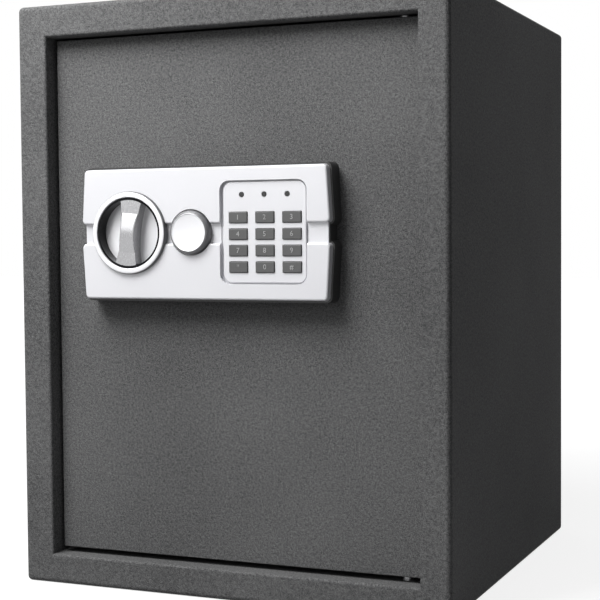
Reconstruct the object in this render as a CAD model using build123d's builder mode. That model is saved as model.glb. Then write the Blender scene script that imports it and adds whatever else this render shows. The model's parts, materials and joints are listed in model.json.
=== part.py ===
from build123d import *
import os
from math import sin, cos, radians

os.makedirs("parts", exist_ok=True)

# Driving dimensions in millimetres
# X runs to the right, Y runs back into the safe, Z runs up, and the floor is Z = 0
width = 350
depth = 340
height = 450
sheet = 2.0
outer_bend = 4.0
front_y = -depth / 2
back_y = depth / 2

# Door opening, measured to the faces of the return lips
open_left = -149.7
open_right = 152.4
open_bottom = 23.0
open_top = 425.4
left_lip_depth = 20.0
long_lip_depth = 30.0
lip_bend = 1.9

# Door plate, set back from the front border
door_recess = 12.4
door_plate_thickness = 4.0
door_left, door_right = -147.3, 150.0
door_bottom, door_top = 27.1, 423.7
door_y = front_y + door_recess
door_back_y = door_y + door_plate_thickness

# Hinge line
hinge_x = 136.0
hinge_y = door_y + 10.0
pin_diameter = 8.0

# Folded pan behind the door plate, which guides the bolts
pan_sheet = 1.5
pan_left, pan_right = -131.0, 108.0
pan_bottom, pan_top = 62.0, 388.0
pan_depth = 32.0
web_y = door_back_y + pan_sheet
case_y = door_back_y + pan_depth

# Bolt work
bolt_diameter = 18.0
bolt_heights = (195.0, 345.0)
bolt_y = front_y + 31.0
bolt_tip_x = -144.0
carriage_y = front_y + 18.4
carriage_sheet = 2.0
carriage_left = -109.0
crank_radius = 14.0
throw = 2 * crank_radius * sin(radians(45))

# Lock panel and its controls
panel_left, panel_right = -117.3, 90.0
panel_bottom, panel_top = 222.8, 323.4
panel_mid_z = 273.2
panel_thickness = 18.0
panel_draft = 6.0
strip_thickness = 15.0
panel_face_y = door_y - panel_thickness
strip_y = door_y - strip_thickness
knob_x, knob_z = -74.0, 274.0
ring_diameter = 62.0
ring_height = 3.0
cup_diameter = 52.9
dish_depth = 10.0
grip_lean = 6.0
plug_x = -22.5
plug_diameter = 33.0
plate_x, plate_z = 36.5, 273.8
plate_width, plate_height = 66.0, 73.5
plate_face_y = panel_face_y + 1.5
plate_thickness = 2.5
key_width, key_height = 14.8, 7.9
key_columns = (15.8, 37.1, 58.4)
key_rows = (284.6, 272.5, 260.5, 248.5)
key_stands = 1.0
lamp_columns = (18.5, 36.6, 54.8)
lamp_z = 301.2


def facing(y):
    # A sketch plane seen from the front: across is X, up is Z, and it pushes out towards the front
    return Plane((0, y, 0), x_dir=(1, 0, 0), z_dir=(0, -1, 0))


def seen_from_right(x):
    # A sketch plane seen from the right: across is Y, up is Z
    return Plane((x, 0, 0), x_dir=(0, 1, 0), z_dir=(1, 0, 0))


# The cabinet
# Cabinet shell: one sheet folded round the four sides and welded at the back and front
with BuildPart() as cabinet_shell:
    with BuildSketch(facing(front_y + outer_bend)):
        with Locations((0, height / 2)):
            RectangleRounded(width, height, outer_bend)
            RectangleRounded(width - 2 * sheet, height - 2 * sheet, outer_bend - sheet, mode=Mode.SUBTRACT)
    extrude(amount=-(depth - outer_bend))
    # Two anchor holes through the base
    with BuildSketch(Plane.XY):
        with Locations((-100, 0), (100, 0)):
            Circle(6)
    extrude(amount=sheet, mode=Mode.SUBTRACT)
cabinet_shell.part.label = "cabinet_shell"
export_step(cabinet_shell.part, "parts/cabinet_shell.step")

# Front frame: the border with its rounded outer bends, whose edges return into the opening
with BuildPart() as front_frame:
    with BuildSketch(facing(front_y)):
        with Locations((0, height / 2)):
            RectangleRounded(width, height, outer_bend)
    extrude(amount=-3 * outer_bend)
    fillet(front_frame.faces().sort_by(Axis.Y)[0].edges(), radius=outer_bend)
    with BuildSketch(facing(front_y + sheet)):
        with Locations((0, height / 2)):
            RectangleRounded(width - 2 * sheet, height - 2 * sheet, outer_bend - sheet)
    extrude(amount=-3 * outer_bend, mode=Mode.SUBTRACT)
    with BuildSketch(facing(front_y + outer_bend)):
        with Locations((0, height / 2)):
            Rectangle(width + 10, height + 10)
    extrude(amount=-3 * outer_bend, mode=Mode.SUBTRACT)
    with BuildSketch(facing(front_y)):
        with Locations(((open_left + open_right) / 2, (open_bottom + open_top) / 2)):
            Rectangle(open_right - open_left, open_top - open_bottom)
    extrude(amount=-sheet, mode=Mode.SUBTRACT)
    # The left lip is short so that the bolts can pass behind it
    with BuildSketch(facing(front_y + sheet)):
        with Locations((open_left - sheet / 2, (open_bottom + open_top) / 2)):
            Rectangle(sheet, open_top - open_bottom + 2 * sheet)
    extrude(amount=-(left_lip_depth - sheet))
    # The top and bottom lips are deeper and carry the hinge pins
    with BuildSketch(facing(front_y + sheet)):
        for lip_z in (open_bottom - sheet / 2, open_top + sheet / 2):
            with Locations(((open_left - sheet + open_right) / 2, lip_z)):
                Rectangle(open_right - open_left + sheet, sheet)
    extrude(amount=-(long_lip_depth - sheet))
    border_edges = front_frame.edges().filter_by_position(Axis.Y, front_y - 0.01, front_y + 0.01)
    lip_edges = [
        edge
        for edge in border_edges
        if abs(edge.center().X) < 150 and open_bottom - 0.1 < edge.center().Z < open_top + 0.1
    ]
    fillet(lip_edges, radius=lip_bend)
    with BuildSketch(Plane.XY.offset(2 * sheet)):
        with Locations((hinge_x, hinge_y)):
            Circle(pin_diameter / 2)
    extrude(amount=height - 4 * sheet, mode=Mode.SUBTRACT)
front_frame.part.label = "front_frame"
export_step(front_frame.part, "parts/front_frame.step")

# Back panel: a plate welded into the open back, with two anchor holes
with BuildPart() as back_panel:
    with BuildSketch(facing(back_y)):
        with Locations((0, height / 2)):
            RectangleRounded(width - 2 * sheet, height - 2 * sheet, outer_bend - sheet)
        with Locations((-100, 300), (100, 300)):
            Circle(6, mode=Mode.SUBTRACT)
    extrude(amount=sheet)
    # A shallow pressed panel stiffens the plate
    with BuildSketch(facing(back_y)):
        with Locations((0, height / 2)):
            RectangleRounded(270, 370, 12)
        with Locations((0, height / 2)):
            RectangleRounded(262, 362, 8, mode=Mode.SUBTRACT)
    extrude(amount=0.8, mode=Mode.SUBTRACT)
back_panel.part.label = "back_panel"
export_step(back_panel.part, "parts/back_panel.step")

# Floor mat: felt, cut out round the anchor holes
with BuildPart() as floor_mat:
    with BuildSketch(Plane.XY.offset(sheet)):
        with Locations((0, 14)):
            RectangleRounded(336, 300, 4)
        with Locations((-100, 0), (100, 0)):
            Circle(9, mode=Mode.SUBTRACT)
    extrude(amount=2.5)
floor_mat.part.label = "floor_mat"
export_step(floor_mat.part, "parts/floor_mat.step")

# Shelf ledges: angle strips on the side walls
shelf_z = 232.0
for side, side_name in ((-1, "left"), (1, "right")):
    wall_x = side * (width / 2 - sheet)
    with BuildPart() as ledge:
        with BuildSketch(facing(150)):
            with BuildLine():
                Polyline(
                    (wall_x, shelf_z),
                    (wall_x - side * 15, shelf_z),
                    (wall_x - side * 15, shelf_z - 1.5),
                    (wall_x - side * 1.5, shelf_z - 1.5),
                    (wall_x - side * 1.5, shelf_z - 15),
                    (wall_x, shelf_z - 15),
                    close=True,
                )
            make_face()
        extrude(amount=236)
    ledge.part.label = f"shelf_ledge_{side_name}"
    export_step(ledge.part, f"parts/shelf_ledge_{side_name}.step")

# Shelf: sheet with its front edge folded down and its back edge folded up
with BuildPart() as shelf:
    with BuildSketch(seen_from_right(-170)):
        with BuildLine():
            Polyline(
                (-95, shelf_z - 12),
                (-95, shelf_z + 1.5),
                (153.5, shelf_z + 1.5),
                (153.5, shelf_z + 12),
                (155, shelf_z + 12),
                (155, shelf_z),
                (-93.5, shelf_z),
                (-93.5, shelf_z - 12),
                close=True,
            )
        make_face()
    extrude(amount=340)
    fillet(shelf.edges().filter_by(Axis.X).sort_by(Axis.Y)[0:2].sort_by(Axis.Z)[-1], radius=1.3)
shelf.part.label = "shelf"
export_step(shelf.part, "parts/shelf.step")

# Hinge pins: pressed through the top and bottom lips, each with a head outside the opening
for pin_name, head_z, tip_z in (("top", open_top + sheet, 403.0), ("bottom", open_bottom - sheet, 43.0)):
    up = 1 if pin_name == "top" else -1
    with BuildPart() as hinge_pin:
        with BuildSketch(Plane.XY.offset(min(head_z, tip_z))):
            with Locations((hinge_x, hinge_y)):
                Circle(pin_diameter / 2)
        extrude(amount=abs(head_z - tip_z))
        with BuildSketch(Plane.XY.offset(head_z)):
            with Locations((hinge_x, hinge_y)):
                Circle(pin_diameter * 0.8)
        extrude(amount=up * 3)
        tip = hinge_pin.faces().sort_by(Axis.Z)[0 if up == 1 else -1]
        chamfer(tip.edges(), length=1)
    hinge_pin.part.label = f"hinge_pin_{pin_name}"
    export_step(hinge_pin.part, f"parts/hinge_pin_{pin_name}.step")

# The door
# Door plate: pierced for the knob bush, the override lock and the cable
cable_x, cable_z = 45.0, 258.0
with BuildPart() as door_plate:
    with BuildSketch(facing(door_back_y)):
        with Locations(((door_left + door_right) / 2, (door_bottom + door_top) / 2)):
            RectangleRounded(door_right - door_left, door_top - door_bottom, 1.5)
        with Locations((knob_x, knob_z)):
            Circle(7.5, mode=Mode.SUBTRACT)
        with Locations((plug_x, knob_z)):
            Circle(9.8, mode=Mode.SUBTRACT)
        with Locations((cable_x, cable_z)):
            SlotOverall(20, 8, mode=Mode.SUBTRACT)
    extrude(amount=door_plate_thickness)
    fillet(door_plate.faces().sort_by(Axis.Y)[0].outer_wire().edges(), radius=0.8)
door_plate.part.label = "door_plate"
export_step(door_plate.part, "parts/door_plate.step")

# Door pan: a folded tray spot welded behind the plate, whose left flange guides the bolts
with BuildPart() as door_pan:
    with BuildSketch(facing(door_back_y)):
        with Locations(((pan_left + pan_right) / 2, (pan_bottom + pan_top) / 2)):
            RectangleRounded(pan_right - pan_left, pan_top - pan_bottom, 3)
    extrude(amount=-pan_depth)
    with BuildSketch(facing(web_y)):
        with Locations(((pan_left + pan_right) / 2, (pan_bottom + pan_top) / 2)):
            RectangleRounded(pan_right - pan_left - 3, pan_top - pan_bottom - 3, 1.5)
    extrude(amount=-pan_depth, mode=Mode.SUBTRACT)
    with BuildSketch(facing(door_back_y)):
        with Locations((knob_x, knob_z)):
            Circle(7.5)
        with Locations((plug_x, knob_z)):
            Circle(9.8)
        with Locations((cable_x, cable_z)):
            SlotOverall(20, 8)
        # Lightening windows above and below the lock
        with Locations((60, 330), (0, 100)):
            RectangleRounded(60, 40, 6)
    extrude(amount=-pan_sheet, mode=Mode.SUBTRACT)
    with BuildSketch(seen_from_right(pan_left - 1)):
        for bolt_z in bolt_heights:
            with Locations((bolt_y, bolt_z)):
                Circle(bolt_diameter / 2 + 0.4)
    extrude(amount=4, mode=Mode.SUBTRACT)
door_pan.part.label = "door_pan"
export_step(door_pan.part, "parts/door_pan.step")

# Hinge lugs: rounded tongues welded behind the plate, bored for the pins
for lug_name, lug_z in (("top", 409.0), ("bottom", 29.0)):
    with BuildPart() as hinge_lug:
        with BuildSketch(Plane.XY.offset(lug_z)):
            with Locations((hinge_x, hinge_y)):
                Circle(hinge_y - door_back_y)
            with Locations((hinge_x - 3, (door_back_y + hinge_y) / 2)):
                Rectangle(22, hinge_y - door_back_y)
            with Locations((hinge_x, hinge_y)):
                Circle(pin_diameter / 2 + 0.05, mode=Mode.SUBTRACT)
        extrude(amount=12)
    hinge_lug.part.label = f"hinge_lug_{lug_name}"
    export_step(hinge_lug.part, f"parts/hinge_lug_{lug_name}.step")

# Lock cover: a folded lid over the pan, with a battery window, its rails and the reset hole
battery_x, battery_z = 62.0, 160.0
reset_x, reset_z = 20.0, 230.0
screw_places = ((-60, 375), (60, 375))
with BuildPart() as lock_cover:
    with BuildSketch(facing(case_y - 7.5)):
        with Locations(((pan_left + pan_right) / 2, (pan_bottom + pan_top) / 2)):
            RectangleRounded(pan_right - pan_left + 3.6, pan_top - pan_bottom + 3.6, 4)
    extrude(amount=-(7.5 + pan_sheet))
    fillet(lock_cover.faces().sort_by(Axis.Y)[-1].edges(), radius=1.4)
    with BuildSketch(facing(case_y - 7.5)):
        with Locations(((pan_left + pan_right) / 2, (pan_bottom + pan_top) / 2)):
            RectangleRounded(pan_right - pan_left + 0.6, pan_top - pan_bottom + 0.6, 3.2)
    extrude(amount=-7.5, mode=Mode.SUBTRACT)
    with BuildSketch(facing(case_y)):
        with Locations((battery_x, battery_z)):
            Rectangle(54, 61)
        with Locations((reset_x, reset_z)):
            Circle(3.4)
        with Locations(*screw_places):
            Circle(2.1)
        # Vent slots
        for step in range(5):
            with Locations((-70, 100 + 9 * step)):
                SlotOverall(40, 3.5)
    extrude(amount=-pan_sheet, mode=Mode.SUBTRACT)
    # Rails that hold the sliding battery cover by its two long edges
    rail_y = case_y + pan_sheet
    for side in (-1, 1):
        rail_x = battery_x + side * 33.5
        with BuildSketch(Plane.XY.offset(battery_z - 36)):
            with BuildLine():
                Polyline(
                    (rail_x, rail_y),
                    (rail_x + side * 1.5, rail_y),
                    (rail_x + side * 1.5, rail_y + 3.6),
                    (rail_x - side * 2.5, rail_y + 3.6),
                    (rail_x - side * 2.5, rail_y + 2.4),
                    (rail_x, rail_y + 2.4),
                    close=True,
                )
            make_face()
        extrude(amount=72)
lock_cover.part.label = "lock_cover"
export_step(lock_cover.part, "parts/lock_cover.step")

# Cover screws: pan heads in the top edge; the lower edge hooks over the pan
for index, (screw_x, screw_z) in enumerate(screw_places):
    with BuildPart() as cover_screw:
        with BuildSketch(facing(case_y + pan_sheet)):
            with Locations((screw_x, screw_z)):
                Circle(3.8)
        extrude(amount=-2.2)
        fillet(cover_screw.faces().sort_by(Axis.Y)[-1].edges(), radius=1.2)
        with BuildSketch(facing(case_y + pan_sheet)):
            with Locations((screw_x, screw_z)):
                Circle(1.9)
        extrude(amount=8)
        with BuildSketch(facing(case_y + pan_sheet + 2.2)):
            with Locations((screw_x, screw_z)):
                Rectangle(4.2, 0.9)
                Rectangle(0.9, 4.2)
        extrude(amount=1.2, mode=Mode.SUBTRACT)
    cover_screw.part.label = f"cover_screw_{index + 1}"
    export_step(cover_screw.part, f"parts/cover_screw_{index + 1}.step")

# Battery box: an open moulding behind the window
with BuildPart() as battery_box:
    with BuildSketch(facing(case_y)):
        with Locations((battery_x, battery_z)):
            RectangleRounded(57, 64, 2)
    extrude(amount=18)
    with BuildSketch(facing(case_y)):
        with Locations((battery_x, battery_z)):
            Rectangle(54, 61)
    extrude(amount=16.5, mode=Mode.SUBTRACT)
    # Low saddles between the cells
    with BuildSketch(facing(case_y - 16.5)):
        for step in (-1, 0, 1):
            with Locations((battery_x, battery_z + 15.1 * step)):
                Rectangle(40, 1.2)
    extrude(amount=-3)
battery_box.part.label = "battery_box"
export_step(battery_box.part, "parts/battery_box.step")

# Four cells, lying head to tail
cell_y = case_y - 8.8
for index in range(4):
    cell_z = battery_z + 15.1 * (index - 1.5)
    turn = 1 if index % 2 == 0 else -1
    with BuildPart() as battery_cell:
        with BuildSketch(seen_from_right(battery_x - turn * 26)):
            with Locations((cell_y, cell_z)):
                Circle(7.2)
        extrude(amount=turn * 49)
        chamfer(battery_cell.edges().filter_by(GeomType.CIRCLE), length=0.6)
        with BuildSketch(seen_from_right(battery_x + turn * 23)):
            with Locations((cell_y, cell_z)):
                Circle(2.7)
        extrude(amount=turn * 1.5)
    battery_cell.part.label = f"battery_cell_{index + 1}"
    export_step(battery_cell.part, f"parts/battery_cell_{index + 1}.step")

# Battery cover: slides down out of its rails, with a thumb grip of raised bars
with BuildPart() as battery_cover:
    with BuildSketch(facing(rail_y + 0.3)):
        with Locations((battery_x, battery_z)):
            Rectangle(66.4, 71)
    extrude(amount=-1.8)
    with BuildSketch(facing(rail_y + 2.1)):
        with Locations((battery_x, battery_z)):
            RectangleRounded(60.4, 71, 1)
    extrude(amount=-1.4)
    with BuildSketch(facing(rail_y + 3.5)):
        for step in range(5):
            with Locations((battery_x, battery_z + 22 - 3.2 * step)):
                SlotOverall(24, 1.4)
    extrude(amount=-0.8)
battery_cover.part.label = "battery_cover"
export_step(battery_cover.part, "parts/battery_cover.step")

# Reset button: a flanged stub through the lock cover
with BuildPart() as reset_button:
    with BuildSketch(facing(case_y - 6)):
        with Locations((reset_x, reset_z)):
            Circle(3.0)
    extrude(amount=-10)
    fillet(reset_button.faces().sort_by(Axis.Y)[-1].edges(), radius=0.8)
    with BuildSketch(facing(case_y - 2.5)):
        with Locations((reset_x, reset_z)):
            Circle(4.8)
    extrude(amount=-2)
reset_button.part.label = "reset_button"
export_step(reset_button.part, "parts/reset_button.step")

# The bolt work
# Bolt carriage: a folded plate that slides on two studs, with a flange for the bolts
stud_x = -100.0
stud_heights = (225.0, 318.0)
pin_rest_x = knob_x + crank_radius * cos(radians(45))
pin_rest_z = knob_z + crank_radius * sin(radians(45))
with BuildPart() as bolt_carriage:
    with BuildSketch(facing(carriage_y)):
        with Locations(((carriage_left - 72) / 2, 270)):
            Rectangle(-72 - carriage_left, 184)
        with Locations(((carriage_left - 44) / 2, 278)):
            Rectangle(-44 - carriage_left, 44)
        # Slots for the studs, for the knob shaft and for the crank pin
        for stud_z in stud_heights:
            with Locations((stud_x + throw / 2, stud_z)):
                SlotCenterToCenter(throw, 7.2, mode=Mode.SUBTRACT)
        with Locations((knob_x + throw / 2, knob_z)):
            SlotCenterToCenter(throw, 9.4, mode=Mode.SUBTRACT)
        with Locations((pin_rest_x, pin_rest_z + 2.05)):
            Rectangle(6.2, 10.3, mode=Mode.SUBTRACT)
    extrude(amount=-carriage_sheet)
    with BuildSketch(seen_from_right(carriage_left)):
        with Locations((carriage_y + 11.8, 270)):
            Rectangle(23.6, 184)
        for bolt_z in bolt_heights:
            with Locations((bolt_y, bolt_z)):
                Circle(5, mode=Mode.SUBTRACT)
    extrude(amount=carriage_sheet)
    # The blocking tab that the plunger stops
    with BuildSketch(seen_from_right(-46)):
        with Locations((carriage_y + 5.3, 297)):
            Rectangle(10.6, 14)
    extrude(amount=2)
bolt_carriage.part.label = "bolt_carriage"
export_step(bolt_carriage.part, "parts/bolt_carriage.step")

# Locking bolts: turned bar with a chamfered nose and a tail riveted through the flange
for bolt_name, bolt_z in zip(("lower", "upper"), bolt_heights):
    with BuildPart() as locking_bolt:
        with BuildSketch(seen_from_right(bolt_tip_x)):
            with Locations((bolt_y, bolt_z)):
                Circle(bolt_diameter / 2)
        extrude(amount=carriage_left - bolt_tip_x)
        chamfer(locking_bolt.faces().sort_by(Axis.X)[0].edges(), length=1.5)
        with BuildSketch(seen_from_right(carriage_left)):
            with Locations((bolt_y, bolt_z)):
                Circle(5)
        extrude(amount=carriage_sheet)
        with BuildSketch(seen_from_right(carriage_left + carriage_sheet)):
            with Locations((bolt_y, bolt_z)):
                Circle(6.5)
        extrude(amount=2)
    locking_bolt.part.label = f"locking_bolt_{bolt_name}"
    export_step(locking_bolt.part, f"parts/locking_bolt_{bolt_name}.step")

# Carriage studs: riveted to the pan, each with a head that keeps the carriage flat
for stud_name, stud_z in zip(("lower", "upper"), stud_heights):
    with BuildPart() as carriage_stud:
        with BuildSketch(facing(web_y)):
            with Locations((stud_x, stud_z)):
                Circle(3)
        extrude(amount=-(carriage_y + carriage_sheet + 0.5 - web_y))
        with BuildSketch(facing(carriage_y + carriage_sheet + 0.5)):
            with Locations((stud_x, stud_z)):
                Circle(6)
        extrude(amount=-2)
    carriage_stud.part.label = f"carriage_stud_{stud_name}"
    export_step(carriage_stud.part, f"parts/carriage_stud_{stud_name}.step")

# Knob shaft, crank and clip: the crank pin points forward into the carriage slot
shaft_end_y = carriage_y + carriage_sheet + 6.0
floor_y = panel_face_y - ring_height + dish_depth
with BuildPart() as knob_shaft:
    with BuildSketch(facing(shaft_end_y)):
        with Locations((knob_x, knob_z)):
            Circle(4)
    extrude(amount=shaft_end_y - floor_y - 2)
    chamfer(knob_shaft.faces().sort_by(Axis.Y)[-1].edges(), length=0.6)
knob_shaft.part.label = "knob_shaft"
export_step(knob_shaft.part, "parts/knob_shaft.step")

crank_y = carriage_y + carriage_sheet + 1.0
with BuildPart() as crank:
    with BuildSketch(facing(crank_y)):
        with Locations((knob_x, knob_z)):
            Circle(8)
        with Locations((pin_rest_x, pin_rest_z)):
            Circle(4.5)
        with BuildLine():
            half = 4.5 * cos(radians(45))
            Polyline(
                (knob_x - half, knob_z + half),
                (pin_rest_x - half, pin_rest_z + half),
                (pin_rest_x + half, pin_rest_z - half),
                (knob_x + half, knob_z - half),
                close=True,
            )
        make_face()
        with Locations((knob_x, knob_z)):
            Circle(4, mode=Mode.SUBTRACT)
    extrude(amount=-3)
    with BuildSketch(facing(crank_y)):
        with Locations((pin_rest_x, pin_rest_z)):
            Circle(2.5)
    extrude(amount=2.8)
crank.part.label = "crank"
export_step(crank.part, "parts/crank.step")

with BuildPart() as shaft_clip:
    with BuildSketch(facing(crank_y + 3)):
        with Locations((knob_x, knob_z)):
            Circle(7)
            Circle(4, mode=Mode.SUBTRACT)
        with Locations((knob_x, knob_z - 6)):
            Rectangle(4, 6, mode=Mode.SUBTRACT)
    extrude(amount=-1)
shaft_clip.part.label = "shaft_clip"
export_step(shaft_clip.part, "parts/shaft_clip.step")

# Knob bush: a flanged sleeve through the door plate
with BuildPart() as knob_bush:
    with BuildSketch(facing(web_y)):
        with Locations((knob_x, knob_z)):
            Circle(7.5)
            Circle(4.05, mode=Mode.SUBTRACT)
    extrude(amount=web_y - door_y)
    with BuildSketch(facing(door_y)):
        with Locations((knob_x, knob_z)):
            Circle(10)
            Circle(4.05, mode=Mode.SUBTRACT)
    extrude(amount=2)
knob_bush.part.label = "knob_bush"
export_step(knob_bush.part, "parts/knob_bush.step")

# Knob: a shallow cup with an arched and waisted grip bar across it
grip_across = (cos(radians(grip_lean)), 0, -sin(radians(grip_lean)))
grip_along = (sin(radians(grip_lean)), 0, cos(radians(grip_lean)))
with BuildPart() as knob:
    with BuildSketch(facing(floor_y)):
        with Locations((knob_x, knob_z)):
            Circle(cup_diameter / 2 - 1.6)
    with BuildSketch(Plane((knob_x, floor_y, knob_z), x_dir=grip_along, z_dir=grip_across)):
        with BuildLine():
            Line((-25.5, -0.5), (-25.5, 2.6))
            ThreePointArc((-25.5, 2.6), (0, 12.0), (25.5, 2.6))
            Line((25.5, 2.6), (25.5, -0.5))
            Line((25.5, -0.5), (-25.5, -0.5))
        make_face()
    extrude(amount=9.2, both=True)
    # The sides are hollowed so that the bar is narrow in the middle
    with BuildSketch(Plane((knob_x, floor_y + 1, knob_z), x_dir=grip_across, z_dir=(0, -1, 0))):
        with Locations((-106, 0), (106, 0)):
            Circle(100)
    extrude(amount=20, mode=Mode.SUBTRACT)
    with BuildSketch(facing(floor_y)):
        with Locations((knob_x, knob_z)):
            Circle(cup_diameter / 2 - 1.4)
    extrude(amount=20, mode=Mode.INTERSECT)
    top_edges = knob.faces().filter_by(GeomType.CYLINDER).sort_by(Axis.Y)[0].edges()
    fillet(top_edges, radius=1.0)
    # The cup: floor, rim and the hub that takes the shaft
    with BuildSketch(facing(floor_y)):
        with Locations((knob_x, knob_z)):
            Circle(cup_diameter / 2)
    extrude(amount=-2)
    with BuildSketch(facing(floor_y)):
        with Locations((knob_x, knob_z)):
            Circle(cup_diameter / 2)
            Circle(cup_diameter / 2 - 1.5, mode=Mode.SUBTRACT)
    extrude(amount=dish_depth - 1.2)
    with BuildSketch(facing(floor_y + 2)):
        with Locations((knob_x, knob_z)):
            Circle(9)
            Circle(4, mode=Mode.SUBTRACT)
    extrude(amount=-(door_y - 2.3 - floor_y - 2))
knob.part.label = "knob"
export_step(knob.part, "parts/knob.step")

# Knob ring: the raised bezel that the cup turns in
with BuildPart() as knob_ring:
    with BuildSketch(facing(strip_y)):
        with Locations((knob_x, knob_z)):
            Circle(ring_diameter / 2)
            Circle(cup_diameter / 2 + 0.3, mode=Mode.SUBTRACT)
    extrude(amount=panel_thickness - strip_thickness + ring_height)
    fillet(knob_ring.faces().sort_by(Axis.Y)[0].edges().sort_by(SortBy.LENGTH)[-1], radius=1.6)
    fillet(knob_ring.faces().sort_by(Axis.Y)[0].edges().sort_by(SortBy.LENGTH)[0], radius=0.6)
    with BuildSketch(facing(strip_y)):
        with Locations((knob_x, knob_z)):
            Circle(cup_diameter / 2 + 1.8)
            Circle(cup_diameter / 2 + 0.3, mode=Mode.SUBTRACT)
    extrude(amount=-11)
knob_ring.part.label = "knob_ring"
export_step(knob_ring.part, "parts/knob_ring.step")

# The electric lock
# Solenoid frame: a folded bracket standing on the pan, open on both sides
plunger_x = -59.5
plunger_y = front_y + 28.0
with BuildPart() as solenoid_frame:
    with BuildSketch(seen_from_right(plunger_x - 10.5)):
        with BuildLine():
            Polyline(
                (web_y, 308),
                (web_y + 20, 308),
                (web_y + 20, 309.5),
                (web_y + 1.5, 309.5),
                (web_y + 1.5, 340.5),
                (web_y + 20, 340.5),
                (web_y + 20, 342),
                (web_y, 342),
                close=True,
            )
        make_face()
    extrude(amount=21)
    with BuildSketch(Plane.XY.offset(305)):
        with Locations((plunger_x, plunger_y)):
            Circle(3.4)
    extrude(amount=40, mode=Mode.SUBTRACT)
solenoid_frame.part.label = "solenoid_frame"
export_step(solenoid_frame.part, "parts/solenoid_frame.step")

with BuildPart() as solenoid_coil:
    with BuildSketch(Plane.XY.offset(309.5)):
        with Locations((plunger_x, plunger_y)):
            Circle(8.4)
            Circle(3.4, mode=Mode.SUBTRACT)
    extrude(amount=31)
    # The winding stands inside its two end cheeks
    with BuildSketch(Plane.XY.offset(312)):
        with Locations((plunger_x, plunger_y)):
            Circle(9)
            Circle(7.4, mode=Mode.SUBTRACT)
    extrude(amount=26, mode=Mode.SUBTRACT)
solenoid_coil.part.label = "solenoid_coil"
export_step(solenoid_coil.part, "parts/solenoid_coil.step")

# Plunger: one side of its nose slopes, the other is square; a lifter plate reaches over the cam
with BuildPart() as plunger:
    with BuildSketch(Plane.XY.offset(306)):
        with Locations((plunger_x, plunger_y)):
            Circle(3)
    extrude(amount=28)
    with BuildSketch(facing(plunger_y - 4)):
        with BuildLine():
            Polyline(
                (plunger_x - 0.5, 305),
                (plunger_x + 4, 305),
                (plunger_x + 4, 311),
                close=True,
            )
        make_face()
    extrude(amount=-8, mode=Mode.SUBTRACT)
    with BuildSketch(facing(plunger_y + 2.6)):
        with BuildLine():
            Polyline(
                (plunger_x - 3, 300),
                (-14, 300),
                (-14, 304),
                (plunger_x + 9, 304),
                (plunger_x + 9, 306.4),
                (plunger_x - 3, 306.4),
                close=True,
            )
        make_face()
    extrude(amount=-3.4)
    # The plate is joined to the shank just above the nose
    with BuildSketch(facing(plunger_y + 6)):
        with Locations((plunger_x - 1.5, 306.6)):
            Rectangle(2.6, 1.6)
    extrude(amount=6)
plunger.part.label = "plunger"
export_step(plunger.part, "parts/plunger.step")

# Override lock: threaded body, nut, turning barrel and cam
body_back_y = front_y + 29.0
with BuildPart() as lock_body:
    with BuildSketch(facing(body_back_y)):
        with Locations((plug_x, knob_z)):
            Circle(9.5)
            Circle(6.3, mode=Mode.SUBTRACT)
    extrude(amount=body_back_y - (strip_y + 5))
    with BuildSketch(facing(door_y)):
        with Locations((plug_x, knob_z)):
            Circle(12)
            Circle(6.3, mode=Mode.SUBTRACT)
    extrude(amount=2)
lock_body.part.label = "lock_body"
export_step(lock_body.part, "parts/lock_body.step")

with BuildPart() as lock_nut:
    with BuildSketch(facing(web_y)):
        with Locations((plug_x, knob_z)):
            RegularPolygon(12, 6, major_radius=False)
            Circle(9.5, mode=Mode.SUBTRACT)
    extrude(amount=-4)
lock_nut.part.label = "lock_nut"
export_step(lock_nut.part, "parts/lock_nut.step")

with BuildPart() as key_barrel:
    with BuildSketch(facing(body_back_y + 2)):
        with Locations((plug_x, knob_z)):
            Circle(6)
    extrude(amount=body_back_y + 2 - (strip_y + 4))
    # The key slot in the barrel's face
    with BuildSketch(facing(strip_y + 4)):
        with Locations((plug_x, knob_z)):
            Rectangle(1.8, 8.4)
    extrude(amount=-14, mode=Mode.SUBTRACT)
key_barrel.part.label = "key_barrel"
export_step(key_barrel.part, "parts/key_barrel.step")

with BuildPart() as override_cam:
    with BuildSketch(facing(body_back_y + 2)):
        with Locations((plug_x, knob_z)):
            Circle(7)
        with Locations((plug_x + 10.5, knob_z)):
            Rectangle(21, 8)
        with Locations((plug_x + 21, knob_z)):
            Circle(4)
    extrude(amount=-3)
override_cam.part.label = "override_cam"
export_step(override_cam.part, "parts/override_cam.step")

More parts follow.
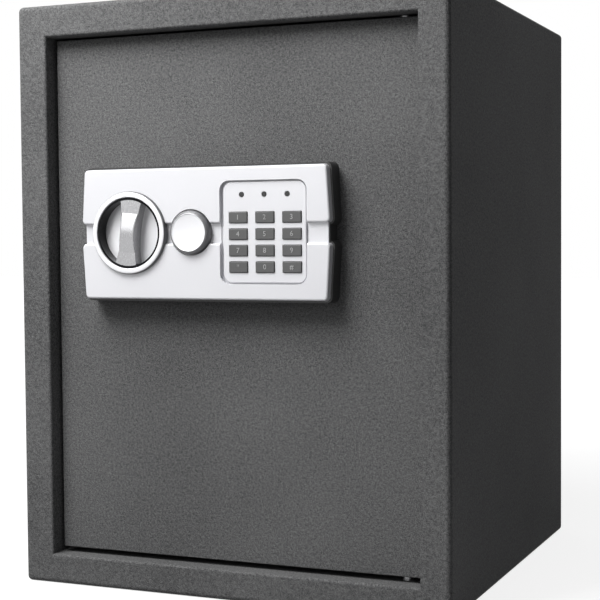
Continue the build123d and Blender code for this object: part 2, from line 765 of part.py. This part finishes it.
# The lock panel
# Panel base: the black moulding against the door, a little larger all round than the silver face
base_thickness = 12.5
with BuildPart() as panel_base:
    for lobe in (-1, 1):
        outer_z = panel_top + 0.6 if lobe == 1 else panel_bottom - 0.6
        inner_z = panel_mid_z + lobe * 5.2
        with BuildSketch(facing(door_y)):
            with BuildLine():
                Polyline(
                    (panel_left - 0.4, inner_z),
                    (panel_left + 2.4, outer_z),
                    (panel_right - 2.2, outer_z),
                    (panel_right + 0.6, inner_z),
                    close=True,
                )
            lobe_face = make_face()
            fillet(lobe_face.vertices(), radius=5.0)
        extrude(amount=base_thickness, taper=2.5)
    with BuildSketch(facing(door_y)):
        with Locations(((panel_left + panel_right) / 2, panel_mid_z)):
            Rectangle(panel_right - panel_left - 7, 24)
    extrude(amount=base_thickness)
    # Open from back to front, with one rail across between the knob and the lock
    with BuildSketch(facing(door_y)):
        with Locations(((panel_left + panel_right) / 2, panel_mid_z)):
            RectangleRounded(panel_right - panel_left - 13, panel_top - panel_bottom - 11, 4)
    extrude(amount=base_thickness, mode=Mode.SUBTRACT)
    with BuildSketch(facing(door_y)):
        with Locations(((knob_x + plug_x) / 2 - 1, panel_mid_z)):
            Rectangle(2, panel_top - panel_bottom - 8)
    extrude(amount=base_thickness - 2)
    with BuildSketch(facing(door_y)):
        with Locations((knob_x, knob_z)):
            Circle(cup_diameter / 2 + 2.4)
        with Locations((plug_x, knob_z)):
            Circle(12.5)
    extrude(amount=base_thickness, mode=Mode.SUBTRACT)
panel_base.part.label = "panel_base"
export_step(panel_base.part, "parts/panel_base.step")

# Lock panel: the silver face, two drafted lobes on a lower strip, with seats for the controls
with BuildPart() as lock_panel:
    for lobe in (-1, 1):
        outer_z = panel_top - 1.3 if lobe == 1 else panel_bottom + 1.3
        inner_z = panel_mid_z + lobe * 6.9
        with BuildSketch(facing(door_y - base_thickness)):
            with BuildLine():
                Polyline(
                    (panel_left + 1.3, inner_z),
                    (panel_left + 3.9, outer_z),
                    (panel_right - 3.9, outer_z),
                    (panel_right - 1.3, inner_z),
                    close=True,
                )
            lobe_face = make_face()
            fillet(lobe_face.vertices(), radius=3.6)
        extrude(amount=panel_thickness - base_thickness, taper=panel_draft)
    fillet(lock_panel.faces().filter_by(Axis.Y).group_by(Axis.Y)[0].edges(), radius=1.5)
    with BuildSketch(facing(door_y - base_thickness)):
        with Locations(((panel_left + panel_right) / 2, panel_mid_z)):
            RectangleRounded(panel_right - panel_left - 8, 24, 2)
    extrude(amount=strip_thickness - base_thickness)
    # Seats for the knob ring and the key cover, then the holes through them
    with BuildSketch(facing(strip_y)):
        with Locations((knob_x, knob_z)):
            Circle(ring_diameter / 2 + 0.2)
        with Locations((plug_x, knob_z)):
            Circle(plug_diameter / 2 + 0.8)
    extrude(amount=10, mode=Mode.SUBTRACT)
    with BuildSketch(facing(door_y)):
        with Locations((knob_x, knob_z)):
            Circle(cup_diameter / 2 + 2.0)
        with Locations((plug_x, knob_z)):
            Circle(11)
    extrude(amount=strip_thickness, mode=Mode.SUBTRACT)
    # Pocket for the keypad plate, with a ledge under its edge
    with BuildSketch(facing(plate_face_y + plate_thickness)):
        with Locations((plate_x - 0.6, plate_z)):
            RectangleRounded(plate_width + 3.2, plate_height + 2, 7.5)
    extrude(amount=10, mode=Mode.SUBTRACT)
    with BuildSketch(facing(door_y - 5)):
        with Locations((plate_x, plate_z)):
            RectangleRounded(plate_width - 3, plate_height - 3, 5)
    extrude(amount=20, mode=Mode.SUBTRACT)
lock_panel.part.label = "lock_panel"
export_step(lock_panel.part, "parts/lock_panel.step")

# Key cover: a domed plug with a dished face and a hollow spigot, pulled off to reach the lock
with BuildPart() as key_cover:
    with BuildSketch(Plane((plug_x, 0, knob_z), x_dir=(1, 0, 0), z_dir=(0, 0, 1))):
        with BuildLine():
            ThreePointArc((0, strip_y - 5.9), (6.6, strip_y - 6.1), (13.0, strip_y - 6.8))
            Polyline(
                (13.0, strip_y - 6.8),
                (13.7, strip_y - 7.2),
                (15.0, strip_y - 6.7),
                (16.1, strip_y - 4.6),
                (16.5, strip_y - 0.3),
                (10.6, strip_y - 0.3),
                (10.6, strip_y + 3.6),
                (9.0, strip_y + 3.6),
                (9.0, strip_y - 4.2),
                (0, strip_y - 4.2),
                (0, strip_y - 5.9),
            )
        make_face()
    revolve(axis=Axis((plug_x, 0, knob_z), (0, 1, 0)))
key_cover.part.label = "key_cover"
export_step(key_cover.part, "parts/key_cover.step")

# Keypad plate: windows for the keys and holes for the lamps
with BuildPart() as keypad_plate:
    with BuildSketch(facing(plate_face_y + plate_thickness)):
        with Locations((plate_x, plate_z)):
            RectangleRounded(plate_width, plate_height, 6.5)
        for key_x in key_columns:
            for key_z in key_rows:
                with Locations((key_x, key_z)):
                    RectangleRounded(key_width + 0.7, key_height + 0.7, 0.8, mode=Mode.SUBTRACT)
        for lamp_x in lamp_columns:
            with Locations((lamp_x, lamp_z)):
                Circle(2.1, mode=Mode.SUBTRACT)
    extrude(amount=plate_thickness)
    fillet(keypad_plate.faces().sort_by(Axis.Y)[0].outer_wire().edges(), radius=0.8)
keypad_plate.part.label = "keypad_plate"
export_step(keypad_plate.part, "parts/keypad_plate.step")

# Lamp strip: one clear moulding with three domes that fill the holes
with BuildPart() as lamp_strip:
    with BuildSketch(facing(plate_face_y + plate_thickness + 1.5)):
        with Locations((lamp_columns[1], lamp_z)):
            RectangleRounded(46, 5.6, 1)
    extrude(amount=1.5)
    with BuildSketch(facing(plate_face_y + plate_thickness)):
        for lamp_x in lamp_columns:
            with Locations((lamp_x, lamp_z)):
                Circle(1.75)
    extrude(amount=plate_thickness + 0.3)
lamp_strip.part.label = "lamp_strip"
export_step(lamp_strip.part, "parts/lamp_strip.step")

# Twelve keys: each a rounded cap with a flange behind the plate and a stem to its switch
key_names = (("1", "4", "7", "left"), ("2", "5", "8", "0"), ("3", "6", "9", "right"))
flange_y = plate_face_y + plate_thickness + 0.3
for column, key_x in enumerate(key_columns):
    for row, key_z in enumerate(key_rows):
        with BuildPart() as key:
            with BuildSketch(facing(flange_y)):
                with Locations((key_x, key_z)):
                    RectangleRounded(key_width, key_height, 0.6)
            extrude(amount=flange_y - (plate_face_y - key_stands))
            fillet(key.faces().sort_by(Axis.Y)[0].edges(), radius=0.5)
            with BuildSketch(facing(flange_y)):
                with Locations((key_x, key_z)):
                    Rectangle(key_width + 2.4, key_height + 2.2)
            extrude(amount=-1)
            with BuildSketch(facing(flange_y + 1)):
                with Locations((key_x, key_z)):
                    Circle(2.2)
            extrude(amount=-3.2)
        key.part.label = f"key_{key_names[column][row]}"
        export_step(key.part, f"parts/key_{key_names[column][row]}.step")

# Circuit board: the board under the keys, with its chip, connector and buzzer behind it
board_y = plate_face_y + 10.3
with BuildPart() as circuit_board:
    with BuildSketch(facing(board_y + 1.6)):
        with Locations((plate_x, plate_z)):
            RectangleRounded(60, 68, 2)
    extrude(amount=1.6)
    with BuildSketch(facing(board_y + 1.6)):
        with Locations((plate_x - 12, plate_z + 12)):
            Rectangle(12, 12)
        with Locations((cable_x, cable_z)):
            Rectangle(16, 5)
        with Locations((plate_x - 14, plate_z - 18)):
            Circle(6)
    extrude(amount=-2.2)
circuit_board.part.label = "circuit_board"
export_step(circuit_board.part, "parts/circuit_board.step")

# Ribbon cable: from the board through the door, then down behind the battery box
with BuildPart() as ribbon_cable:
    with BuildLine() as cable_route:
        FilletPolyline(
            (cable_x, board_y + 3.8, cable_z),
            (cable_x, case_y - 19.2, cable_z),
            (cable_x, case_y - 19.2, battery_z + 20),
            radius=4,
        )
    with BuildSketch(Plane((cable_x, board_y + 3.8, cable_z), x_dir=(1, 0, 0), z_dir=(0, 1, 0))):
        Rectangle(14, 1)
    sweep()
ribbon_cable.part.label = "ribbon_cable"
export_step(ribbon_cable.part, "parts/ribbon_cable.step")
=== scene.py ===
import bpy
import bmesh
import json
from math import radians, sin, cos
from mathutils import Matrix, Vector


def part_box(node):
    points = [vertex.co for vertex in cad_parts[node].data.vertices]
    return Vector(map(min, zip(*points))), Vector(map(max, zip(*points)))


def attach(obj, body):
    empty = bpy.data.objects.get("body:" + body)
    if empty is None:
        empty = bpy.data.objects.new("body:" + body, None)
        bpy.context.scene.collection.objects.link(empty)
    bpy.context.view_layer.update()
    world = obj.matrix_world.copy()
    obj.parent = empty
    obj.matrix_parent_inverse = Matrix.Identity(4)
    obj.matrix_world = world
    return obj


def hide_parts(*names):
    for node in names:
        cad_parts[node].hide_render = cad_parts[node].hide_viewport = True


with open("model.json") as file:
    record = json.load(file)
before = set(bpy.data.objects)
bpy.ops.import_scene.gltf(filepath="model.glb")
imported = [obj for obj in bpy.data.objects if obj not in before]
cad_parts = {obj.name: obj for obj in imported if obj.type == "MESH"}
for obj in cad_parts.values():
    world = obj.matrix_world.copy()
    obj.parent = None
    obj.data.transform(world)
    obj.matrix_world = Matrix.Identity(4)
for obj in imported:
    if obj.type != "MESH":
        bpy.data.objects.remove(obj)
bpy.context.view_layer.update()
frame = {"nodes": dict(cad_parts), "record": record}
nodes = frame["nodes"]
scene = bpy.context.scene
print("safe: frame loaded")


# sockets as expressions, so that a material reads as sums
class Wire:
    def __init__(self, tree, socket):
        self.tree = tree
        self.socket = socket

    def math(self, operation, a, b, clamp=False):
        node = self.tree.nodes.new("ShaderNodeMath")
        node.operation = operation
        node.use_clamp = clamp
        for i, value in enumerate((a, b)):
            if isinstance(value, Wire):
                self.tree.links.new(value.socket, node.inputs[i])
            else:
                node.inputs[i].default_value = value
        return Wire(self.tree, node.outputs[0])

    def __add__(self, other): return self.math("ADD", self, other)
    def __radd__(self, other): return self.math("ADD", other, self)
    def __sub__(self, other): return self.math("SUBTRACT", self, other)
    def __rsub__(self, other): return self.math("SUBTRACT", other, self)
    def __mul__(self, other): return self.math("MULTIPLY", self, other)
    def __pow__(self, other): return self.math("POWER", self, other)
    def clamped(self): return self.math("ADD", self, 0.0, clamp=True)


class Paint:
    # one material being built, with a single method for any node
    def __init__(self, name):
        self.material = bpy.data.materials.new(name)
        self.material.use_nodes = True
        self.tree = self.material.node_tree
        self.shader = self.tree.nodes["Principled BSDF"]
        coords = self.tree.nodes.new("ShaderNodeTexCoord")
        self.place = Wire(self.tree, coords.outputs["Object"])

    def node(self, kind, settings=None, inputs=None, output=0):
        n = self.tree.nodes.new(kind)
        for key, value in (settings or {}).items():
            setattr(n, key, value)
        for key, value in (inputs or {}).items():
            if isinstance(value, Wire):
                self.tree.links.new(value.socket, n.inputs[key])
            else:
                n.inputs[key].default_value = value
        return Wire(self.tree, n.outputs[output])

    def noise(self, scale, detail=3.0, rough=0.5, place=None):
        return self.node("ShaderNodeTexNoise", {}, {"Vector": place or self.place, "Scale": scale,
                                                    "Detail": detail, "Roughness": rough})

    def stretched(self, scale):
        return self.node("ShaderNodeMapping", {}, {"Vector": self.place, "Scale": scale})

    def mixColour(self, amount, a, b):
        return self.node("ShaderNodeMix", {"data_type": "RGBA"}, {0: amount, 6: a, 7: b}, 2)

    def put(self, socket, value):
        if isinstance(value, Wire):
            self.tree.links.new(value.socket, self.shader.inputs[socket])
        else:
            self.shader.inputs[socket].default_value = value

    def bump(self, height, strength, distance, under=None):
        inputs = {"Height": height, "Strength": strength, "Distance": distance}
        if under:
            inputs["Normal"] = under
        return self.node("ShaderNodeBump", {}, inputs)


def rgb(value, tint=(1, 1, 1)):
    # a grey written as the picture's value, turned into the linear value that the shader wants
    linear = (value / 255) ** 2.2
    return (linear * tint[0], linear * tint[1], linear * tint[2], 1)


def dress(nodeName, paint):
    mesh = nodes[nodeName].data
    mesh.materials.clear()
    mesh.materials.append(paint.material)


# the two paints of the cabinet and the door: fine flecks over small pores, as a hammered paint dries
hammered = {"grey": 116, "dark": 64, "fleckScale": 1300, "poreScale": 520, "cloudScale": 6.0,
            "fleckShare": 0.55, "poreShare": 0.3, "cloudShare": 0.15, "toneLow": 0.38, "toneHigh": 0.62,
            "rough": 0.5, "shine": 0.02, "bump": 0.55, "fleckDepth": 0.0003, "poreDepth": 0.0008}
inner = {"grey": 88, "dark": 66, "bump": 0.3}


def hammerPaint(name, grey, dark, bumpStrength):
    p = Paint(name)
    fleck = p.noise(hammered["fleckScale"], 2.0, 0.6)
    pores = p.noise(hammered["poreScale"], 3.0, 0.55)
    cloud = p.noise(hammered["cloudScale"], 3.0, 0.5)
    tone = fleck * hammered["fleckShare"] + pores * hammered["poreShare"] + cloud * hammered["cloudShare"]
    shade = p.node("ShaderNodeMapRange", {}, {
        "Value": tone, "From Min": hammered["toneLow"], "From Max": hammered["toneHigh"]})
    p.put("Base Color", p.mixColour(shade, rgb(dark, (1, 1, 1.03)), rgb(grey)))
    p.put("Roughness", (hammered["rough"] + pores * 0.2).clamped())
    p.put("Metallic", 0.0)
    p.shader.inputs["Specular IOR Level"].default_value = hammered["shine"]
    fine = p.bump(fleck, bumpStrength * 0.6, hammered["fleckDepth"])
    p.put("Normal", p.bump(pores, bumpStrength, hammered["poreDepth"], fine))
    return p


frontPaint = hammerPaint("hammeredPaint", hammered["grey"], hammered["dark"], hammered["bump"])
innerPaint = hammerPaint("innerPaint", inner["grey"], inner["dark"], inner["bump"])

feltLook = {"dark": 30, "light": 58, "fibres": 1400, "rough": 0.95, "depth": 0.0006}
felt = Paint("felt")
fibre = felt.noise(feltLook["fibres"], 4.0, 0.7)
felt.put("Base Color", felt.mixColour(fibre, rgb(feltLook["dark"]), rgb(feltLook["light"])))
felt.put("Roughness", feltLook["rough"])
felt.put("Normal", felt.bump(fibre, 0.8, feltLook["depth"]))


def metalPaint(name, colour, rough, streak=(1, 1, 1), wear=0.12, metallic=1.0, bump=0.12):
    p = Paint(name)
    grain = p.noise(260, 4.0, 0.6, p.stretched(streak))
    smudge = p.noise(24, 3.0, 0.5)
    low = tuple(c * 0.78 for c in colour[:3]) + (1,)
    p.put("Base Color", p.mixColour(smudge, low, colour))
    p.put("Metallic", metallic)
    p.put("Roughness", (rough + (grain - 0.5) * wear + (smudge - 0.5) * 0.1).clamped())
    p.put("Normal", p.bump(grain, bump, 0.0002))
    return p


zincPlate = metalPaint("zincPlate", (0.55, 0.55, 0.56, 1), 0.34, (1, 1, 8))
boltChrome = metalPaint("boltChrome", (0.7, 0.7, 0.71, 1), 0.14, (1, 9, 9), 0.08, 1.0, 0.06)
brass = metalPaint("brass", (0.62, 0.44, 0.17, 1), 0.28, (3, 1, 3))
lockBodyPlate = metalPaint("lockBodyPlate", (0.5, 0.5, 0.5, 1), 0.25)
print("safe: metals and paints mixed")

# silver plastic of the panel: a bright metallic moulding with a very fine flake. Its dish colour is a lighter
# copy of the silver, painted light so that the shaded floor of the knob's dish, the ring and the key cover read
# bright
silver = {"dishPaintedLight": (0.86, 0.86, 0.88, 1), "bright": (0.70, 0.70, 0.72, 1), "shade": (0.60, 0.60, 0.625, 1)}


def silverPaint(name, bright, shade, rough=0.36, metallic=0.15):
    p = Paint(name)
    flake = p.noise(2400, 2.0, 0.7)
    cloud = p.noise(18, 2.0, 0.5)
    p.put("Base Color", p.mixColour(flake * 0.5 + cloud * 0.5, shade, bright))
    p.put("Metallic", metallic)
    p.put("Roughness", (rough + (cloud - 0.5) * 0.08 + (flake - 0.5) * 0.06).clamped())
    p.put("Normal", p.bump(flake, 0.05, 0.0001))
    return p


# how softly the silver turns into the painted shade on the walls
edgeBlur = 0.00015


def ringed(name, centre, wallFrom, wallPaintedShade, floorFrom=None, gripColour=None):
    # silver moulding whose outer wall takes a painted shade by distance from its axis, and for the knob the grip
    # takes a darker brushed finish
    # the knob, ring and key cover start from the lighter silver, which is painted light
    p = silverPaint(name, silver["dishPaintedLight"], silver["bright"])
    x = p.node("ShaderNodeSeparateXYZ", {}, {"Vector": p.place})
    y, z = (Wire(p.tree, x.socket.node.outputs[axis]) for axis in ("Y", "Z"))
    reach = ((x - centre[0]) ** 2.0 + (z - centre[1]) ** 2.0) ** 0.5
    wallShadeMask = p.node("ShaderNodeMapRange", {}, {
        "Value": reach, "From Min": wallFrom - edgeBlur, "From Max": wallFrom + edgeBlur})
    colour = Wire(p.tree, p.shader.inputs["Base Color"].links[0].from_socket)
    if gripColour:
        raised = p.node("ShaderNodeMapRange", {}, {
            "Value": y, "From Min": floorFrom - 0.0002, "From Max": floorFrom, "To Min": 1.0, "To Max": 0.0})
        brushed = p.noise(500, 4.0, 0.6, p.stretched((6, 6, 1)))
        dull = tuple(c * 0.7 for c in gripColour[:3]) + (1,)
        colour = p.mixColour(raised, colour, p.mixColour(brushed, dull, gripColour))
        p.put("Metallic", (0.15 + raised * 0.7).clamped())
        p.put("Roughness", (0.3 - raised * 0.04 + (brushed - 0.5) * 0.1).clamped())
    p.put("Base Color", p.mixColour(wallShadeMask, colour, wallPaintedShade))
    return p


silverPanel = silverPaint("silverPanel", silver["bright"], silver["shade"])
# axes of the knob and of the key cover, each given as (x, z)
knobAxis, coverAxis = (-0.074, 0.274), (-0.0225, 0.274)
# the wall colours are painted shade: near black on the inner wall of the knob's cup for its shade and dark
# reflection, dark grey on the outer wall of the ring and on the side of the key cover
knobFinishPaintedLightAndShade = ringed("knobFinishPaintedLightAndShade", knobAxis, 0.0247, (0.006, 0.006, 0.007, 1), -0.1687, (0.46, 0.46, 0.47, 1))
ringFinishPaintedLightAndShade = ringed("ringFinishPaintedLightAndShade", knobAxis, 0.0304, (0.12, 0.12, 0.125, 1))
coverFinishPaintedLightAndShade = ringed("coverFinishPaintedLightAndShade", coverAxis, 0.01385, (0.13, 0.13, 0.135, 1))


def plasticPaint(name, colour, rough=0.45, grainScale=1200, bump=0.12):
    p = Paint(name)
    grain = p.noise(grainScale, 2.0, 0.6)
    cloud = p.noise(30, 2.0, 0.5)
    low = tuple(c * 0.8 for c in colour[:3]) + (1,)
    p.put("Base Color", p.mixColour(cloud, low, colour))
    p.put("Roughness", (rough + (grain - 0.5) * 0.15).clamped())
    p.put("Normal", p.bump(grain, bump, 0.0002))
    return p


keyPlastic = plasticPaint("keyPlastic", rgb(80), 0.48)
lampPlastic = plasticPaint("lampPlastic", rgb(48), 0.2, 1200, 0.02)
blackPlastic = plasticPaint("blackPlastic", rgb(46), 0.5)
cellWrap = plasticPaint("cellWrap", (0.05, 0.08, 0.14, 1), 0.25, 900, 0.02)
redPlastic = plasticPaint("redPlastic", (0.5, 0.03, 0.02, 1), 0.3)
boardGreen = plasticPaint("boardGreen", (0.02, 0.16, 0.06, 1), 0.4)

finishes = {
    "charcoal_paint": frontPaint, "inner_paint": innerPaint, "felt": felt, "steel": zincPlate,
    "bolt_chrome": boltChrome, "brass": brass, "zinc_body": lockBodyPlate,
    "silver_plastic": silverPanel, "key_plastic": keyPlastic, "lamp_plastic": lampPlastic,
    "black_plastic": blackPlastic, "cell_wrap": cellWrap, "red_plastic": redPlastic,
    "board_green": boardGreen,
}
for entry in frame["record"]["subparts"]:
    dress(entry["node"], finishes[entry["material_slot"]])
dress("knob", knobFinishPaintedLightAndShade)
dress("knob_ring", ringFinishPaintedLightAndShade)
dress("key_cover", coverFinishPaintedLightAndShade)
print("safe: parts dressed")

# the felt on the cabinet floor: a laid sheet with two holes for the anchors and a faint lie of its own
mat = {"steps": (84, 75), "hole": 0.0092, "holes": ((-0.1, 0.0), (0.1, 0.0)), "lie": 0.0003}


def feltSheet():
    low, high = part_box("floor_mat")
    bm = bmesh.new()
    bmesh.ops.create_grid(bm, x_segments=mat["steps"][0], y_segments=mat["steps"][1], size=0.5)
    middle = [(a + b) / 2 for a, b in zip(low, high)]
    bmesh.ops.scale(bm, verts=bm.verts, vec=(high[0] - low[0], high[1] - low[1], 1))
    bmesh.ops.translate(bm, verts=bm.verts, vec=(middle[0], middle[1], low[2]))
    for spot in mat["holes"]:
        centre = Vector((spot[0], spot[1], low[2]))
        inside = [f for f in bm.faces if (f.calc_center_median() - centre).length < mat["hole"]]
        bmesh.ops.delete(bm, geom=inside, context="FACES")
        edge = {v for e in bm.edges if e.is_boundary for v in e.verts}
        rim = {v for v in edge if (v.co - centre).length < mat["hole"] * 2}
        for v in rim:
            v.co = centre + (v.co - centre).normalized() * mat["hole"]
    raised = bmesh.ops.extrude_face_region(bm, geom=bm.faces[:])
    top = [g for g in raised["geom"] if isinstance(g, bmesh.types.BMVert)]
    for v in top:
        wave = sin(v.co.x * 41 + 0.6) * cos(v.co.y * 33) + 0.5 * sin(v.co.x * 97 - v.co.y * 71)
        v.co.z = high[2] - mat["lie"] + mat["lie"] * 0.6 * wave
    bmesh.ops.recalc_face_normals(bm, faces=bm.faces)
    mesh = bpy.data.meshes.new("feltSheet")
    bm.to_mesh(mesh)
    bm.free()
    mesh.materials.append(felt.material)
    piece = bpy.data.objects.new("feltSheet", mesh)
    scene.collection.objects.link(piece)
    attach(piece, "cabinet")
    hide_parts("floor_mat")


feltSheet()
print("safe: felt laid")

# marks on the keys: plain digits, raised a hair above each cap
keyMarks = {"size": 0.0052, "lift": 0.00012, "thick": 0.0001,
            "marks": {"1": "1", "2": "2", "3": "3", "4": "4", "5": "5", "6": "6", "7": "7",
                      "8": "8", "9": "9", "0": "0", "left": "*", "right": "#"}}
markInk = plasticPaint("markInk", rgb(165), 0.5, 900, 0.02)


def keyMark(nodeKey, text):
    low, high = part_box("key_" + nodeKey)
    curve = bpy.data.curves.new("mark", "FONT")
    curve.body = text
    curve.size = keyMarks["size"]
    curve.extrude = keyMarks["thick"]
    curve.align_x = "CENTER"
    curve.align_y = "CENTER"
    curve.resolution_u = 3
    writer = bpy.data.objects.new("markWriter", curve)
    scene.collection.objects.link(writer)
    bpy.context.view_layer.update()
    mesh = bpy.data.meshes.new_from_object(writer.evaluated_get(bpy.context.evaluated_depsgraph_get()))
    bpy.data.objects.remove(writer)
    spot = Vector(((low[0] + high[0]) / 2, low[1] - keyMarks["lift"], (low[2] + high[2]) / 2))
    mesh.transform(Matrix.Translation(spot) @ Matrix.Rotation(radians(90), 4, "X"))
    mesh.materials.clear()
    mesh.materials.append(markInk.material)
    piece = bpy.data.objects.new("mark_" + nodeKey, mesh)
    scene.collection.objects.link(piece)
    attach(piece, "key_" + nodeKey)


for nodeKey, text in keyMarks["marks"].items():
    keyMark(nodeKey, text)
print("safe: key marks placed")



def whiteRays(tree):
    # 1 for the rays that show the background: those seen directly, in a reflection or through glass
    rays = tree.nodes.new("ShaderNodeLightPath")
    direct, mirrored, through = (
        Wire(tree, rays.outputs[kind]) for kind in ("Is Camera Ray", "Is Glossy Ray", "Is Transmission Ray"))
    return (direct + mirrored + through).clamped()


# floor, camera and light
# near and far are each a distance from the middle of the floor and how white the floor is there
stageLook = {"floorSize": 14.0, "floorGrey": 0.24, "glow": 1.0, "near": (0.4, 0.83), "far": (1.3, 1.0),
             "room": (0.9, 0.93, 1.0, 1), "roomLevel": 0.08, "drop": 0.0002}
bm = bmesh.new()
bmesh.ops.create_grid(bm, x_segments=1, y_segments=1, size=stageLook["floorSize"] / 2)
floorMesh = bpy.data.meshes.new("floor")
bm.to_mesh(floorMesh)
bm.free()
floor = bpy.data.objects.new("floor", floorMesh)
scene.collection.objects.link(floor)
floorMesh.transform(Matrix.Translation((0, 0, -stageLook["drop"])))
floorPaint = Paint("floorPaint")
seen = whiteRays(floorPaint.tree)
floorPaint.put("Base Color", (stageLook["floorGrey"],) * 3 + (1,))
floorPaint.put("Roughness", 0.9)
# the floor is plain white far off, and just under it close by, where it keeps the shadow
away = floorPaint.node("ShaderNodeVectorMath", {"operation": "LENGTH"}, {0: floorPaint.place}, "Value")
glow = floorPaint.node("ShaderNodeMapRange", {}, {
    "Value": away, "From Min": stageLook["near"][0], "From Max": stageLook["far"][0],
    "To Min": stageLook["near"][1], "To Max": stageLook["far"][1]})
floorPaint.put("Emission Color", floorPaint.mixColour(seen * glow, (0, 0, 0, 1), (1, 1, 1, 1)))
floorPaint.put("Emission Strength", stageLook["glow"])
floorMesh.materials.append(floorPaint.material)

world = bpy.data.worlds.new("room")
scene.world = world
world.use_nodes = True
tree = world.node_tree
background = tree.nodes["Background"]
background.inputs["Color"].default_value = stageLook["room"]
background.inputs["Strength"].default_value = stageLook["roomLevel"]
white = tree.nodes.new("ShaderNodeBackground")
white.inputs["Color"].default_value = (1, 1, 1, 1)
white.inputs["Strength"].default_value = 1.0
mixer = tree.nodes.new("ShaderNodeMixShader")
tree.links.new(whiteRays(tree).socket, mixer.inputs[0])
tree.links.new(background.outputs[0], mixer.inputs[1])
tree.links.new(white.outputs[0], mixer.inputs[2])
tree.links.new(mixer.outputs[0], tree.nodes["World Output"].inputs[0])


def areaLamp(name, place, target, size, power):
    data = bpy.data.lights.new(name, "AREA")
    data.shape = "RECTANGLE"
    data.size, data.size_y = size
    data.energy = power
    lamp = bpy.data.objects.new(name, data)
    scene.collection.objects.link(lamp)
    aim = (Vector(target) - Vector(place)).to_track_quat("-Z", "Y")
    lamp.matrix_world = Matrix.Translation(place) @ aim.to_matrix().to_4x4()


lamps = {
    "softLeft": {"place": (-0.34, -0.66, 0.98), "target": (0, -0.17, 0.38), "size": (0.55, 0.5), "power": 15},
    "softTop": {"place": (-0.2, -0.75, 1.9), "target": (0, -0.1, 0.3), "size": (1.1, 0.7), "power": 8},
    "softFront": {"place": (-0.8, -1.9, 0.9), "target": (-0.05, -0.17, 0.35), "size": (0.9, 0.9), "power": 5.5},
}
for lampName, lampLook in lamps.items():
    areaLamp(lampName, **lampLook)

camera = {"place": (0.4656, -1.1134, 0.2721), "yaw": 23.14, "pitch": -2.64, "roll": 0.45,
          "lens": 85.64, "sensor": 36}
view = bpy.data.cameras.new("camera")
view.lens = camera["lens"]
view.sensor_width = camera["sensor"]
eye = bpy.data.objects.new("camera", view)
scene.collection.objects.link(eye)
turn = (Matrix.Rotation(radians(camera["yaw"]), 4, "Z") @ Matrix.Rotation(radians(camera["pitch"]), 4, "X")
        @ Matrix.Rotation(radians(camera["roll"]), 4, "Y") @ Matrix.Rotation(radians(90), 4, "X"))
eye.matrix_world = Matrix.Translation(camera["place"]) @ turn
scene.camera = eye
scene.view_settings.view_transform = "Standard"
print("safe: stage, lamps and camera set")
